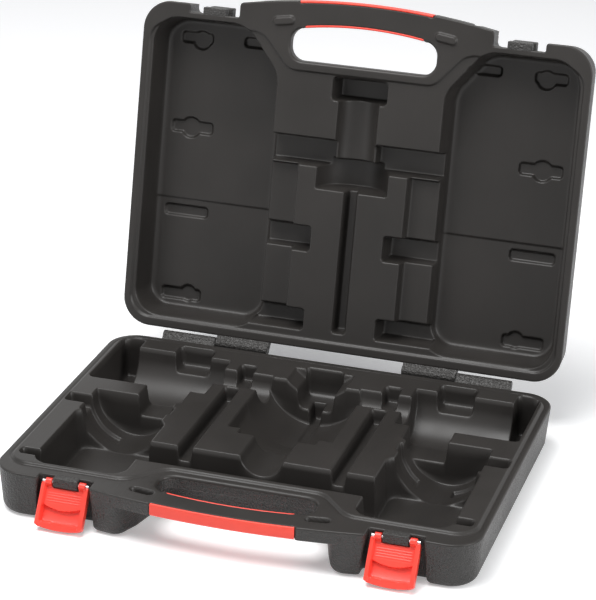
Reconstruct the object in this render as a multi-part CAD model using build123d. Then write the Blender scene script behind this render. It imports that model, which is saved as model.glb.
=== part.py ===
from build123d import *
import os
from math import tan, radians

os.makedirs("parts", exist_ok=True)

# A two-half moulded carry case, lying open on its back hinge.  All sizes in mm.
# Row frame: origin at the centre of the base's bottom face, +X right, +Y to the hinge, +Z up.
# Each half is first drawn in its own frame: mating plane at z = 0, body below it, and the
# distance V from the front edge given by y = V - DEPTH / 2.

WIDTH = 460.0            # over the side walls
DEPTH = 334.0            # front edge to back edge of one half
HALF = 46.0              # height of one half
CORNER = 29.0            # plan radius of the outer corners
DRAFT = 5.0              # degrees, outer walls lean in away from the mating plane
FOOT_R = 9.0             # rounding where the outer walls meet the bottom
MATE_GAP = 0.4           # between the two mating planes when shut
OPEN_ANGLE = 102.0       # how far the lid lies open at rest

# Latch places, which the front edge follows
LATCH_IN = 74.0          # latch centre from the side wall
LATCH_X = WIDTH / 2 - LATCH_IN
LATCH_HALF = 23.0
CHANNEL_CLEAR = 3.0      # latch to channel side

# Front edge: bowed carrying side between the two latch channels
BOW_X = LATCH_X - LATCH_HALF - CHANNEL_CLEAR     # half width of the bowed part
BOW_OUT = 18.0           # how far it stands out at the centre
BOW_END = 6.0            # and at its ends
CHANNEL_X = LATCH_X + LATCH_HALF + CHANNEL_CLEAR  # outer side of the latch channel
CHANNEL_V = 8.7          # depth of the channel from the front edge
FLANGE = 13.0            # thickness of the carrying flange
WELL_X = 80.0            # half width of the hollow under the flange at its back wall
WELL_V = 50.0            # back wall of that hollow
WELL_FLARE = ((7, 18), (18, -2), (44, -34))      # its ends open forwards: further out, V
HOLE_X = 75.0            # hand hole
HOLE_V0, HOLE_V1 = 7.0, 45.0
HOLE_END_V = 14.5
HOLE_R = 14.0

# Grips round the bar
GRIP_WALL = 2.5
GRIP_X_OUT, GRIP_X_IN = 68.0, 60.0
GRIP_SPLIT_V = -2.0      # the outer leg is longer than the inner one on this line
GRIP_DROP = 0.5          # the legs stop this far short of the mating plane

# Tongue on the base and its recess in the lid
TONGUE_H = 2.0
TONGUE_SIDE, TONGUE_FRONT, TONGUE_BACK = 8.0, 21.0, 10.0
TONGUE_HAND_V = 55.0     # it runs behind the hand hole
TONGUE_HAND_X0, TONGUE_HAND_X1 = 75.0, 105.0
TONGUE_CLEAR = 0.6
PEG_X, PEG_V = 83.0, 6.8
PEG_L, PEG_W, PEG_H = 22.0, 8.0, 3.0
PEG_TURN = 9.0
PEG_CLEAR = 0.5
PEG_POCKET = 8.0         # depth of the slot a peg enters

# Hinge
HINGE_BACK = 7.5         # axis behind the back edge
BARREL_R = 5.5
HINGE_PIN_R = 2.0
HINGE_IN = 47.2          # outer end of the knuckles from the side wall
HINGE_SPAN = 112.1       # one pair of knuckles, end to end
BASE_KNUCKLE_X1 = WIDTH / 2 - HINGE_IN
LID_KNUCKLE_X0 = BASE_KNUCKLE_X1 - HINGE_SPAN
KNUCKLE_SPLIT = BASE_KNUCKLE_X1 - 56.4
KNUCKLE_GAP = 0.3        # each side of the split
WEB_IN = 8.0             # the webs run this far into the wall
RUN_CLEAR = 0.05         # running fit, on radius
PRESS = 0.02             # press fit, on radius
PIN_SHY = 0.4            # pins stop short of the outer faces

# Latches
LATCH_PIN_R = 1.5
LATCH_PIN_V = 5.2
LATCH_PIN_DROP = 5.0     # below the base's mating plane
BAR_HALF = 12.0          # bar between the ears
BAR_V = 2.2
BAR_H = 9.5
EAR_IN, EAR_OUT = 13.0, 19.5
EAR_R = 3.2
RAIL_IN = 18.8
LATCH_L = 44.0
PLATE_T0, PLATE_T1 = -6.2, -4.4
RAIL_T = 3.0
LIP_S, LIP_T = 39.8, 1.0
RIB_T = -3.5
RIB_S0, RIB_S1 = 9.0, 21.0
REST_SWING = 32.0        # the hanging latch stands out this far from the upright
CATCH_S0, CATCH_S1 = 26.0, 39.0
CATCH_HALF = 12.0
CATCH_V = 3.0

# Nests are placed for a case of this plan size and stretch with it
NEST_W, NEST_D = 460.0, 334.0
KX, KV = WIDTH / NEST_W, DEPTH / NEST_D

HINGE_Y = DEPTH / 2 + HINGE_BACK
HINGE_Z = HALF + MATE_GAP / 2
PIN_Y = LATCH_PIN_V - DEPTH / 2
PIN_Z = HALF - LATCH_PIN_DROP
BOW_R = (BOW_X**2 + (BOW_OUT - BOW_END)**2) / (2 * (BOW_OUT - BOW_END))
HOLE_RISE = HOLE_END_V - HOLE_V0
HOLE_ARC_R = (HOLE_X**2 + HOLE_RISE**2) / (2 * HOLE_RISE)
SIDES = (1, -1)


def at_v(v):
    """Y of a point V behind the front edge."""
    return v - DEPTH / 2


def slab(sketch, z0, z1):
    """Straight prism of a flat sketch between two heights."""
    return Pos(0, 0, z0) * extrude(sketch, amount=z1 - z0)


def block(x0, x1, v0, v1, z0, z1):
    """Plain box from its limits."""
    return Pos((x0 + x1) / 2, at_v((v0 + v1) / 2), (z0 + z1) / 2) * Box(x1 - x0, v1 - v0, z1 - z0)


def pocket(x0, x1, v0, v1, depth, r, draft=3.0, above=4.0):
    """Hollow with rounded plan corners and leaning walls, cut down from the mating plane."""
    x0, x1, v0, v1 = x0 * KX, x1 * KX, v0 * KV, v1 * KV
    place = Pos((x0 + x1) / 2, at_v((v0 + v1) / 2), 0)
    plan = RectangleRounded(x1 - x0, v1 - v0, r)
    return place * (extrude(plan, amount=depth, dir=(0, 0, -1), taper=draft) + extrude(plan, amount=above))


def trough_x(x0, x1, v, r, lift=0.0):
    """Round-bottomed trough running left to right."""
    x0, x1, v = x0 * KX, x1 * KX, v * KV
    return Pos((x0 + x1) / 2, at_v(v), lift) * Rot(0, 90, 0) * Cylinder(r, x1 - x0)


def trough_y(x, v0, v1, r, lift=0.0):
    """Round-bottomed trough running front to back."""
    x, v0, v1 = x * KX, v0 * KV, v1 * KV
    return Pos(x, at_v((v0 + v1) / 2), lift) * Rot(90, 0, 0) * Cylinder(r, v1 - v0)


def both(make):
    """The same feature on the right and, mirrored, on the left."""
    right = make()
    return [right, right.mirror(Plane.YZ)]


def bow_face():
    """Plan of the bowed front edge."""
    a, b, c = (-BOW_X, at_v(-BOW_END)), (0, at_v(-BOW_OUT)), (BOW_X, at_v(-BOW_END))
    back = at_v(60)
    edges = [ThreePointArc(a, b, c), Line(c, (BOW_X, back)), Line((BOW_X, back), (-BOW_X, back)),
             Line((-BOW_X, back), a)]
    return make_face(edges)


def hand_hole_face():
    """Plan of the hand hole, its front side following the bow."""
    a, b, c = (-HOLE_X, at_v(HOLE_END_V)), (0, at_v(HOLE_V0)), (HOLE_X, at_v(HOLE_END_V))
    back = at_v(HOLE_V1)
    edges = [ThreePointArc(a, b, c), Line(c, (HOLE_X, back)), Line((HOLE_X, back), (-HOLE_X, back)),
             Line((-HOLE_X, back), a)]
    face = Sketch() + make_face(edges)
    return fillet(face.vertices(), HOLE_R)


def well_face():
    """Plan of the hollow under the flange: straight back wall, S-shaped ends."""
    right = [(WELL_X, WELL_V)] + [(WELL_X + out, v) for out, v in WELL_FLARE]
    pts = right + [(-x, v) for x, v in reversed(right)]
    face = Sketch() + make_face(Polyline(*[(x, at_v(v)) for x, v in pts], close=True))
    round_these = [p for p in face.vertices() if p.Y > at_v(-10)]
    return fillet(round_these, 9)


def tongue_face(grow=0.0):
    """Plan of the raised inner field, stepped back behind the hand hole."""
    x1 = WIDTH / 2 - TONGUE_SIDE + grow
    v0, v1, vh = TONGUE_FRONT - grow, DEPTH - TONGUE_BACK + grow, TONGUE_HAND_V - grow
    xa, xb = TONGUE_HAND_X0 - grow, TONGUE_HAND_X1 - grow
    pts = [(-x1, v1), (-x1, v0), (-xb, v0), (-xa, vh), (xa, vh), (xb, v0), (x1, v0), (x1, v1)]
    face = Sketch() + make_face(Polyline(*[(x, at_v(v)) for x, v in pts], close=True))
    corners = [p for p in face.vertices() if abs(p.X) > x1 - 1]
    face = fillet(corners, CORNER - TONGUE_SIDE)
    steps = [p for p in face.vertices() if abs(abs(p.X) - xa) < 1 or abs(abs(p.X) - xb) < 1]
    return fillet(steps, 14)


def bar_plan(off=0.0, beyond=False):
    """Plan of the carrying bar between bow and hand hole, narrowed by off on both long sides."""
    reach = -10.0 if beyond else off
    centre_bow = at_v(BOW_R - BOW_OUT)
    centre_hole = at_v(HOLE_V0 + HOLE_ARC_R)
    area = Pos(0, at_v((GRIP_SPLIT_V - 30) / 2)) * Rectangle(2 * GRIP_X_OUT, 30 + GRIP_SPLIT_V)
    area += Pos(0, at_v((GRIP_SPLIT_V + 20) / 2)) * Rectangle(2 * GRIP_X_IN, 20 - GRIP_SPLIT_V)
    area &= Pos(0, centre_bow) * Circle(BOW_R - reach)
    return area - Pos(0, centre_hole) * Circle(HOLE_ARC_R + reach)


def bar_core():
    """The part of the bar that the grip wraps."""
    return slab(bar_plan(GRIP_WALL), -FLANGE + GRIP_WALL, 1.0)


def grip():
    """U-section sleeve, flush with the bar's ends."""
    return slab(bar_plan(), -FLANGE, -GRIP_DROP) - bar_core()


def pegs(grow=0.0, z0=0.0, z1=1.0):
    """Two round-ended locating pegs, turned to follow the bow."""
    plan = SlotOverall(PEG_L + 2 * grow, PEG_W + 2 * grow)
    return [Pos(s * PEG_X, at_v(PEG_V), z0) * Rot(0, 0, s * PEG_TURN) * extrude(plan, amount=z1 - z0)
            for s in SIDES]


def half_body():
    """Outer form common to both halves: walls, bow, channels, flange, hand hole and latch bars."""
    body = extrude(RectangleRounded(WIDTH, DEPTH, CORNER), amount=HALF, dir=(0, 0, -1), taper=DRAFT)
    body = fillet(body.edges().group_by(Axis.Z)[0], FOOT_R)
    body += extrude(bow_face(), amount=HALF, dir=(0, 0, -1), taper=DRAFT)
    for s in SIDES:
        x0, x1 = sorted((s * BOW_X, s * CHANNEL_X))
        body -= block(x0, x1, -30, CHANNEL_V, -HALF - 1, 1)
        body += block(s * LATCH_X - BAR_HALF, s * LATCH_X + BAR_HALF, BAR_V, CHANNEL_V + 1, -BAR_H, 0)
    body -= slab(well_face(), -HALF - 1, -FLANGE)
    body -= slab(hand_hole_face(), -FLANGE - 2, 1)
    body -= slab(bar_plan(beyond=True), -FLANGE - 2, -GRIP_DROP) - bar_core()
    return body


def knuckle(x0, x1, slant, down, along):
    """Hinge barrel and the web that joins it to the back wall, drawn with the axis at HINGE_Y, 0."""
    barrel = Pos((x0 + x1) / 2, HINGE_Y, -MATE_GAP / 2 * down) * Rot(0, 90, 0) * Cylinder(BARREL_R, x1 - x0)
    yb, zb = DEPTH / 2 - WEB_IN, -BARREL_R
    pts = [(x0, HINGE_Y), (x1, HINGE_Y), (x1 + along, yb), (x0 - slant, yb)]
    plan = make_face(Polyline(*pts, close=True))
    return barrel + slab(plan, zb, -MATE_GAP / 2)


def base_pockets():
    """The moulded nests of the base, right side drawn and mirrored."""
    cuts = []
    cuts += both(lambda: pocket(110, 199, 26, 150, 40, 16))
    cuts.append(pocket(-124, 124, 62, 100, 40, 6))
    cuts += both(lambda: pocket(196, 216, 38, 50, 12, 5))
    cuts += both(lambda: trough_y(157, 148, 193, 41))
    cuts += both(lambda: trough_y(157, 160, 178, 43))
    cuts += both(lambda: pocket(190, 220, 160, 178, 12, 5))
    cuts += both(lambda: pocket(112, 155, 188, 224, 20, 4))
    cuts += both(lambda: trough_x(97, 198, 259, 41))
    cuts += both(lambda: pocket(195, 217, 218, 320, 40, 7))
    cuts += both(lambda: pocket(118, 155, 276, 318, 18, 6))
    cuts += both(lambda: pocket(68, 82, 96, 240, 13, 5))
    cuts += [trough_y(0, 92, 156, 21, 5), pocket(-38, 38, 146, 162, 13, 4), pocket(-51, 51, 156, 224, 9, 4)]
    cone = Pos(0, at_v(187.5 * KV), 10) * Rot(-90, 0, 0) * Cone(25, 50, 55 * KV + 1)
    cuts += [cone, trough_y(0, 214, 277, 51.5, 8.5)]
    cuts.append(pocket(-7, 7, 232, 296, 43.5, 3))
    cuts += [pocket(-19, 19, 272, 312, 27, 5), pocket(-27, 27, 272, 305, 8, 4)]
    cuts += both(lambda: trough_x(45, 99, 262, 18))
    cuts += both(lambda: pocket(67, 83, 268, 296, 14, 6))
    return cuts


def compartment():
    """Side compartment of the lid; its front inner corner is cut off beside the hand hole."""
    pts = [(86, 322), (219, 322), (219, 15), (122, 15), (86, 60)]
    face = Sketch() + make_face(Polyline(*[(x * KX, at_v(v * KV)) for x, v in pts], close=True))
    face = fillet(face.vertices(), 22)
    return extrude(face, amount=38, dir=(0, 0, -1), taper=5.0) + extrude(face, amount=4)


def lid_pockets():
    """The lid's side compartments and the nests of its centre."""
    cuts = both(compartment)
    cuts += both(lambda: pocket(20, 96, 120, 148, 25, 4))
    cuts += both(lambda: pocket(57, 96, 148, 316, 16, 3))
    cuts += both(lambda: pocket(38, 96, 210, 235, 30, 4))
    cuts += both(lambda: pocket(38, 96, 295, 316, 30, 4))
    cuts.append(pocket(-7, 7, 165, 315, 18, 4))
    cuts.append(trough_y(0, 139, 170, 37))
    cuts.append(trough_y(0, 76, 142, 21))
    cuts.append(pocket(-28, 28, 57, 80, 30, 5))
    for x0, x1, v0, v1 in ((160, 203, 298, 311), (159, 206, 211, 223), (160, 205, 123, 136),
                           (167, 201, 32, 44), (106, 134, 31, 42)):
        cuts += both(lambda: pocket(x0, x1, v0, v1, 41, 5))
    return cuts


def base_shell():
    """Lower half: nests, tongue, hinge knuckles at the outer ends, bores for its pins."""
    body = half_body()
    body += slab(tongue_face(), -1, TONGUE_H)
    for cut in base_pockets() + pegs(PEG_CLEAR, -PEG_POCKET, 1):
        body -= cut
    for s in SIDES:
        a, b = sorted((s * (KNUCKLE_SPLIT + KNUCKLE_GAP), s * BASE_KNUCKLE_X1))
        body += knuckle(a, b, 0, -1, 0)
        body -= Pos((a + b) / 2, HINGE_Y, MATE_GAP / 2) * Rot(0, 90, 0) * Cylinder(HINGE_PIN_R - PRESS, b - a + 2)
        body -= Pos(s * LATCH_X, PIN_Y, -LATCH_PIN_DROP) * Rot(0, 90, 0) * Cylinder(
            LATCH_PIN_R - PRESS, 2 * BAR_HALF + 2)
    return Pos(0, 0, HALF) * body


def open_up(shape):
    """Turn a part of the shut lid to where it lies at rest."""
    return shape.rotate(Axis((0, HINGE_Y, HINGE_Z), (1, 0, 0)), -OPEN_ANGLE)


def place_in_lid(shape):
    """Lid frame to the row frame: turned face down on the base, then opened."""
    return open_up(Pos(0, 0, HALF + MATE_GAP) * shape.mirror(Plane.XY))


def lid_shell():
    """Upper half: compartments, recess for the tongue, pegs, catches and inner knuckles."""
    body = half_body()
    body -= slab(tongue_face(TONGUE_CLEAR), -TONGUE_H - TONGUE_CLEAR, 1)
    for cut in lid_pockets():
        body -= cut
    for peg in pegs(0, -1, PEG_H):
        body += peg
    catch_top = LATCH_PIN_DROP + MATE_GAP
    for s in SIDES:
        body += block(s * LATCH_X - CATCH_HALF, s * LATCH_X + CATCH_HALF, CATCH_V, CHANNEL_V + 1,
                      catch_top - CATCH_S1, catch_top - CATCH_S0)
        a, b = sorted((s * LID_KNUCKLE_X0, s * (KNUCKLE_SPLIT - KNUCKLE_GAP)))
        slants = (8, 0) if s > 0 else (0, 8)
        body += knuckle(a, b, slants[0], -1, slants[1])
        body -= Pos((a + b) / 2, HINGE_Y, MATE_GAP / 2) * Rot(0, 90, 0) * Cylinder(HINGE_PIN_R + RUN_CLEAR, b - a + 2)
    return place_in_lid(body)


def latch(side):
    """Swing latch, drawn shut against the front (s up, t to the case), then swung to rest."""
    def piece(x0, x1, s0, s1, t0, t1):
        return Pos((x0 + x1) / 2, (t0 + t1) / 2, (s0 + s1) / 2) * Box(x1 - x0, t1 - t0, s1 - s0)

    body = piece(-LATCH_HALF, LATCH_HALF, 5.0, LATCH_L, PLATE_T0, PLATE_T1)
    for s in SIDES:
        a, b = sorted((s * RAIL_IN, s * LATCH_HALF))
        body += piece(a, b, 4.5, LATCH_L - 2, PLATE_T0, RAIL_T)
        body += piece(a, b, 1.5, 5.0, -3.0, RAIL_T)
        a, b = sorted((s * EAR_IN, s * EAR_OUT))
        body += piece(a, b, 4.5, 8.0, PLATE_T0, 2.0)
        body += piece(a, b, 0, 5.0, -EAR_R, EAR_R)
        body += Pos((a + b) / 2, 0, 0) * Rot(0, 90, 0) * Cylinder(EAR_R, b - a)
    body += piece(-RAIL_IN - 1, RAIL_IN + 1, LIP_S, LATCH_L, PLATE_T0, LIP_T)
    pitch = 2 * (RAIL_IN - 4) / 3
    for i in range(4):
        x = -RAIL_IN + 4 + i * pitch
        body += piece(x - 2.5, x + 2.5, RIB_S0, RIB_S1, PLATE_T1 - 0.5, RIB_T)
    corners = body.edges().filter_by(Axis.Y).filter_by(lambda e: abs(e.center().X) > LATCH_HALF - 0.1
                                                       and e.center().Z > LATCH_L - 3)
    if len(corners):
        body = fillet(corners, 1.5)
    body -= Rot(0, 90, 0) * Cylinder(LATCH_PIN_R + RUN_CLEAR, 2 * LATCH_HALF + 2)
    body = body.rotate(Axis.X, 180 - REST_SWING)
    return Pos(side * LATCH_X, PIN_Y, PIN_Z) * body


def pin(x0, x1, y, z, r):
    """Plain steel pin with broken ends."""
    rod = Cylinder(r, abs(x1 - x0))
    rod = chamfer(rod.edges(), 0.3)
    return Pos((x0 + x1) / 2, y, z) * Rot(0, 90, 0) * rod


parts = {"base_shell": base_shell(), "lid_shell": lid_shell()}
parts["grip_base"] = Pos(0, 0, HALF) * grip()
parts["grip_lid"] = place_in_lid(grip())
for name, side in (("right", 1), ("left", -1)):
    parts["latch_" + name] = latch(side)
    parts["hinge_pin_" + name] = pin(side * (LID_KNUCKLE_X0 + PIN_SHY), side * (BASE_KNUCKLE_X1 - PIN_SHY),
                                     HINGE_Y, HINGE_Z, HINGE_PIN_R)
    parts["latch_pin_" + name] = pin(side * (LATCH_X - LATCH_HALF + PIN_SHY), side * (LATCH_X + LATCH_HALF - PIN_SHY),
                                     PIN_Y, PIN_Z, LATCH_PIN_R)

for name, shape in parts.items():
    solids = shape.solids()
    print(name, len(solids), "solid(s)", round(shape.volume / 1000, 1), "cm3", shape.is_valid)
    export_step(shape if len(solids) != 1 else solids[0], "parts/" + name + ".step")
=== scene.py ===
import bpy
import math
import numpy as np
from mathutils import Matrix, Vector
from mathutils.geometry import delaunay_2d_cdt


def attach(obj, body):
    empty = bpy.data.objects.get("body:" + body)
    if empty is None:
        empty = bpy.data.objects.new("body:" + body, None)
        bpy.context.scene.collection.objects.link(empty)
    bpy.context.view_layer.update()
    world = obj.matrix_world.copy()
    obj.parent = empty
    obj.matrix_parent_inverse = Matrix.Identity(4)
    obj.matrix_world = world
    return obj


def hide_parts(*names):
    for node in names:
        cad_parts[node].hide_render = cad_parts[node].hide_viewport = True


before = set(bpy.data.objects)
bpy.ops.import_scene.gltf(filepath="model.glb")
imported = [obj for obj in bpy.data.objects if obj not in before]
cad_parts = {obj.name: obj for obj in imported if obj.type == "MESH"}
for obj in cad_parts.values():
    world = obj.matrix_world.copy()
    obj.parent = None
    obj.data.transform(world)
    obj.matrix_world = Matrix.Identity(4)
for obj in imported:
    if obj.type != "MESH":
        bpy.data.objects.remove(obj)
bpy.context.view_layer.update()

# ---------------------------------------------------------------- studio
# A pale seamless floor and three big soft lamps, as round a product on a table.
# The world is white where it is seen or mirrored, and a mild grey where it only lights.

scene = bpy.context.scene
scene.view_settings.view_transform = "Standard"

camera = bpy.data.objects.new("camera", bpy.data.cameras.new("camera"))
scene.collection.objects.link(camera)
camera.data.sensor_width = 36.0
camera.data.lens = 154.84
turn, rise, roll = 0.290, 0.401, 0.026      # round Z, up from level, about the view line
back = np.array([math.sin(turn) * math.cos(rise), -math.cos(turn) * math.cos(rise), math.sin(rise)])
across = np.array([math.cos(turn), math.sin(turn), 0.0])
upward = np.cross(back, across)
right = math.cos(roll) * across + math.sin(roll) * upward
up = -math.sin(roll) * across + math.cos(roll) * upward
target = np.array([0.0169, -0.0170, 0.1910])
CAMERA_AWAY = 2.377
place = target + back * CAMERA_AWAY
camera.matrix_world = Matrix(((right[0], up[0], back[0], place[0]),
                              (right[1], up[1], back[1], place[1]),
                              (right[2], up[2], back[2], place[2]),
                              (0, 0, 0, 1)))
scene.camera = camera


def seen_white(nodes, links):
    """A mix factor that is 1 for eye, mirror and glass rays and 0 for all others."""
    path = nodes.new("ShaderNodeLightPath")
    eye_or_mirror = nodes.new("ShaderNodeMath")
    eye_or_mirror.operation = "MAXIMUM"
    any_seen = nodes.new("ShaderNodeMath")
    any_seen.operation = "MAXIMUM"
    links.new(path.outputs["Is Camera Ray"], eye_or_mirror.inputs[0])
    links.new(path.outputs["Is Glossy Ray"], eye_or_mirror.inputs[1])
    links.new(eye_or_mirror.outputs[0], any_seen.inputs[0])
    links.new(path.outputs["Is Transmission Ray"], any_seen.inputs[1])
    return any_seen.outputs[0]


world = bpy.data.worlds.new("studio")
scene.world = world
world.use_nodes = True
wn, wl = world.node_tree.nodes, world.node_tree.links
wn.clear()
lit = wn.new("ShaderNodeBackground")
lit.inputs["Color"].default_value = (0.86, 0.90, 1.0, 1)
lit.inputs["Strength"].default_value = 0.16
plain = wn.new("ShaderNodeBackground")
plain.inputs["Color"].default_value = (1, 1, 1, 1)
plain.inputs["Strength"].default_value = 1.0
mix = wn.new("ShaderNodeMixShader")
wout = wn.new("ShaderNodeOutputWorld")
wl.new(seen_white(wn, wl), mix.inputs[0])
wl.new(lit.outputs[0], mix.inputs[1])
wl.new(plain.outputs[0], mix.inputs[2])
wl.new(mix.outputs[0], wout.inputs["Surface"])

FLOOR_HALF = 6.0
floor_mesh = bpy.data.meshes.new("floor")
floor_mesh.from_pydata([(-FLOOR_HALF, -FLOOR_HALF, 0), (FLOOR_HALF, -FLOOR_HALF, 0),
                        (FLOOR_HALF, FLOOR_HALF, 0), (-FLOOR_HALF, FLOOR_HALF, 0)], [], [(0, 1, 2, 3)])
floor = bpy.data.objects.new("floor", floor_mesh)
scene.collection.objects.link(floor)
floor_paint = bpy.data.materials.new("floor_paint")
floor_paint.use_nodes = True
fn, fl = floor_paint.node_tree.nodes, floor_paint.node_tree.links
fn.clear()
matte = fn.new("ShaderNodeBsdfDiffuse")
matte.inputs["Color"].default_value = (0.93, 0.93, 0.93, 1)
glow = fn.new("ShaderNodeEmission")
glow.inputs["Color"].default_value = (1, 1, 1, 1)
glow.inputs["Strength"].default_value = 0.30
add = fn.new("ShaderNodeAddShader")
black = fn.new("ShaderNodeEmission")
black.inputs["Strength"].default_value = 0.0
pick = fn.new("ShaderNodeMixShader")
fout = fn.new("ShaderNodeOutputMaterial")
fl.new(seen_white(fn, fl), pick.inputs[0])
fl.new(black.outputs[0], pick.inputs[1])
fl.new(glow.outputs[0], pick.inputs[2])
fl.new(matte.outputs[0], add.inputs[0])
fl.new(pick.outputs[0], add.inputs[1])
fl.new(add.outputs[0], fout.inputs["Surface"])
floor.data.materials.append(floor_paint)


def softbox(name, place, aim, size, power):
    """A square lamp at place, facing aim."""
    data = bpy.data.lights.new(name, "AREA")
    data.shape = "SQUARE"
    data.size = size
    data.energy = power
    lamp = bpy.data.objects.new(name, data)
    facing = (Vector(place) - Vector(aim)).to_track_quat("Z", "Y")
    lamp.matrix_world = Matrix.LocRotScale(Vector(place), facing, None)
    scene.collection.objects.link(lamp)


softbox("lamp_top", (-0.4, -0.5, 2.3), (0, 0.05, 0.1), 1.5, 62)
softbox("lamp_right", (2.3, -0.6, 1.2), (0, 0.1, 0.1), 1.2, 34)
softbox("lamp_left", (-2.2, -1.8, 1.2), (0, 0.1, 0.15), 1.2, 10)

# ---------------------------------------------------------------- black case plastic
# Both halves are blow-moulded from one black plastic.  Where it met the polished plug inside
# it is satin with faint draw lines; outside it has a fine pebble grain.


def node_group(name, inputs, outputs):
    """A shader node group with named sockets; gives (tree, inner input, inner output)."""
    tree = bpy.data.node_groups.new(name, "ShaderNodeTree")
    for label, kind, value in inputs:
        socket = tree.interface.new_socket(label, in_out="INPUT", socket_type=kind)
        if value is not None:
            socket.default_value = value
    for label, kind in outputs:
        tree.interface.new_socket(label, in_out="OUTPUT", socket_type=kind)
    return tree, tree.nodes.new("NodeGroupInput"), tree.nodes.new("NodeGroupOutput")


# tone: slow change of shade and gloss, as on any large moulding
TONE, t_in, t_out = node_group(
    "moulding_tone",
    [("Dark", "NodeSocketColor", (0.02, 0.02, 0.02, 1)), ("Light", "NodeSocketColor", (0.04, 0.04, 0.04, 1)),
     ("Scale", "NodeSocketFloat", 14.0), ("Gloss Low", "NodeSocketFloat", 0.4),
     ("Gloss High", "NodeSocketFloat", 0.55)],
    [("Color", "NodeSocketColor"), ("Roughness", "NodeSocketFloat")])
t_co = TONE.nodes.new("ShaderNodeTexCoord")
t_noise = TONE.nodes.new("ShaderNodeTexNoise")
t_noise.inputs["Detail"].default_value = 4.0
TONE.links.new(t_co.outputs["Object"], t_noise.inputs["Vector"])
TONE.links.new(t_in.outputs["Scale"], t_noise.inputs["Scale"])
t_mix = TONE.nodes.new("ShaderNodeMix")
t_mix.data_type = "RGBA"
TONE.links.new(t_noise.outputs["Fac"], t_mix.inputs["Factor"])
TONE.links.new(t_in.outputs["Dark"], t_mix.inputs["A"])
TONE.links.new(t_in.outputs["Light"], t_mix.inputs["B"])
TONE.links.new(t_mix.outputs["Result"], t_out.inputs["Color"])
t_range = TONE.nodes.new("ShaderNodeMapRange")
TONE.links.new(t_noise.outputs["Fac"], t_range.inputs["Value"])
t_range.inputs["From Min"].default_value = 0.3
t_range.inputs["From Max"].default_value = 0.7
TONE.links.new(t_in.outputs["Gloss Low"], t_range.inputs["To Min"])
TONE.links.new(t_in.outputs["Gloss High"], t_range.inputs["To Max"])
TONE.links.new(t_range.outputs["Result"], t_out.inputs["Roughness"])

# pebble: rounded grains of about a millimetre, as a height
PEBBLE, p_in, p_out = node_group(
    "pebble_grain", [("Scale", "NodeSocketFloat", 700.0)], [("Height", "NodeSocketFloat")])
p_co = PEBBLE.nodes.new("ShaderNodeTexCoord")
p_cell = PEBBLE.nodes.new("ShaderNodeTexVoronoi")
p_cell.feature = "SMOOTH_F1"
PEBBLE.links.new(p_co.outputs["Object"], p_cell.inputs["Vector"])
PEBBLE.links.new(p_in.outputs["Scale"], p_cell.inputs["Scale"])
PEBBLE.links.new(p_cell.outputs["Distance"], p_out.inputs["Height"])

# draw lines: long faint streaks left as the hot plastic slid over the mould
DRAWN, d_in, d_out = node_group(
    "draw_lines", [("Scale", "NodeSocketFloat", 60.0)], [("Height", "NodeSocketFloat")])
d_co = DRAWN.nodes.new("ShaderNodeTexCoord")
d_map = DRAWN.nodes.new("ShaderNodeMapping")
d_map.inputs["Scale"].default_value = (8.0, 1.0, 1.0)
DRAWN.links.new(d_co.outputs["Object"], d_map.inputs["Vector"])
d_noise = DRAWN.nodes.new("ShaderNodeTexNoise")
d_noise.inputs["Detail"].default_value = 5.0
DRAWN.links.new(d_map.outputs["Vector"], d_noise.inputs["Vector"])
DRAWN.links.new(d_in.outputs["Scale"], d_noise.inputs["Scale"])
DRAWN.links.new(d_noise.outputs["Fac"], d_out.inputs["Height"])


def plastic(name, dark, light, gloss, height_group, scale, strength, distance, spec=0.5):
    """A moulded plastic: tone group for colour and gloss, one height group through a bump."""
    material = bpy.data.materials.new(name)
    material.use_nodes = True
    tree = material.node_tree
    tree.nodes.clear()
    out = tree.nodes.new("ShaderNodeOutputMaterial")
    skin = tree.nodes.new("ShaderNodeBsdfPrincipled")
    skin.inputs["Specular IOR Level"].default_value = spec
    tree.links.new(skin.outputs["BSDF"], out.inputs["Surface"])
    tone = tree.nodes.new("ShaderNodeGroup")
    tone.node_tree = TONE
    tone.inputs["Dark"].default_value = (*dark, 1)
    tone.inputs["Light"].default_value = (*light, 1)
    tone.inputs["Gloss Low"].default_value = gloss[0]
    tone.inputs["Gloss High"].default_value = gloss[1]
    tree.links.new(tone.outputs["Color"], skin.inputs["Base Color"])
    tree.links.new(tone.outputs["Roughness"], skin.inputs["Roughness"])
    grain = tree.nodes.new("ShaderNodeGroup")
    grain.node_tree = height_group
    grain.inputs["Scale"].default_value = scale
    bump = tree.nodes.new("ShaderNodeBump")
    bump.inputs["Strength"].default_value = strength
    bump.inputs["Distance"].default_value = distance
    tree.links.new(grain.outputs["Height"], bump.inputs["Height"])
    tree.links.new(bump.outputs["Normal"], skin.inputs["Normal"])
    return material


satin_black = plastic("case_satin_black", (0.019, 0.0175, 0.016), (0.031, 0.028, 0.026), (0.30, 0.44),
                      DRAWN, 60.0, 0.25, 0.0004, 0.28)
grained_black = plastic("case_grained_black", (0.020, 0.019, 0.018), (0.034, 0.032, 0.030), (0.38, 0.52),
                        PEBBLE, 620.0, 1.0, 0.0011, 0.40)

# ---------------------------------------------------------------- outline of one half
# Both halves share one outline: a rounded box with a bowed carrying side between two latch
# channels, and a hand hole.  Drawn in mm, X across and V back from the front edge.

WIDTH, DEPTH, HALF = 460.0, 334.0, 46.0
BOW_X, BOW_END, BOW_OUT = 130.0, 6.0, 18.0
CHANNEL_X, CHANNEL_V = 182.0, 8.7
FLANGE = 13.0
BOW_R = (BOW_X ** 2 + (BOW_OUT - BOW_END) ** 2) / (2 * (BOW_OUT - BOW_END))


def bow_v(x, off=0.0):
    """V of the bowed edge at x: a shallow arc through its two ends and its apex."""
    return BOW_R - BOW_OUT - np.sqrt((BOW_R - off) ** 2 - np.asarray(x, float) ** 2)


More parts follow.
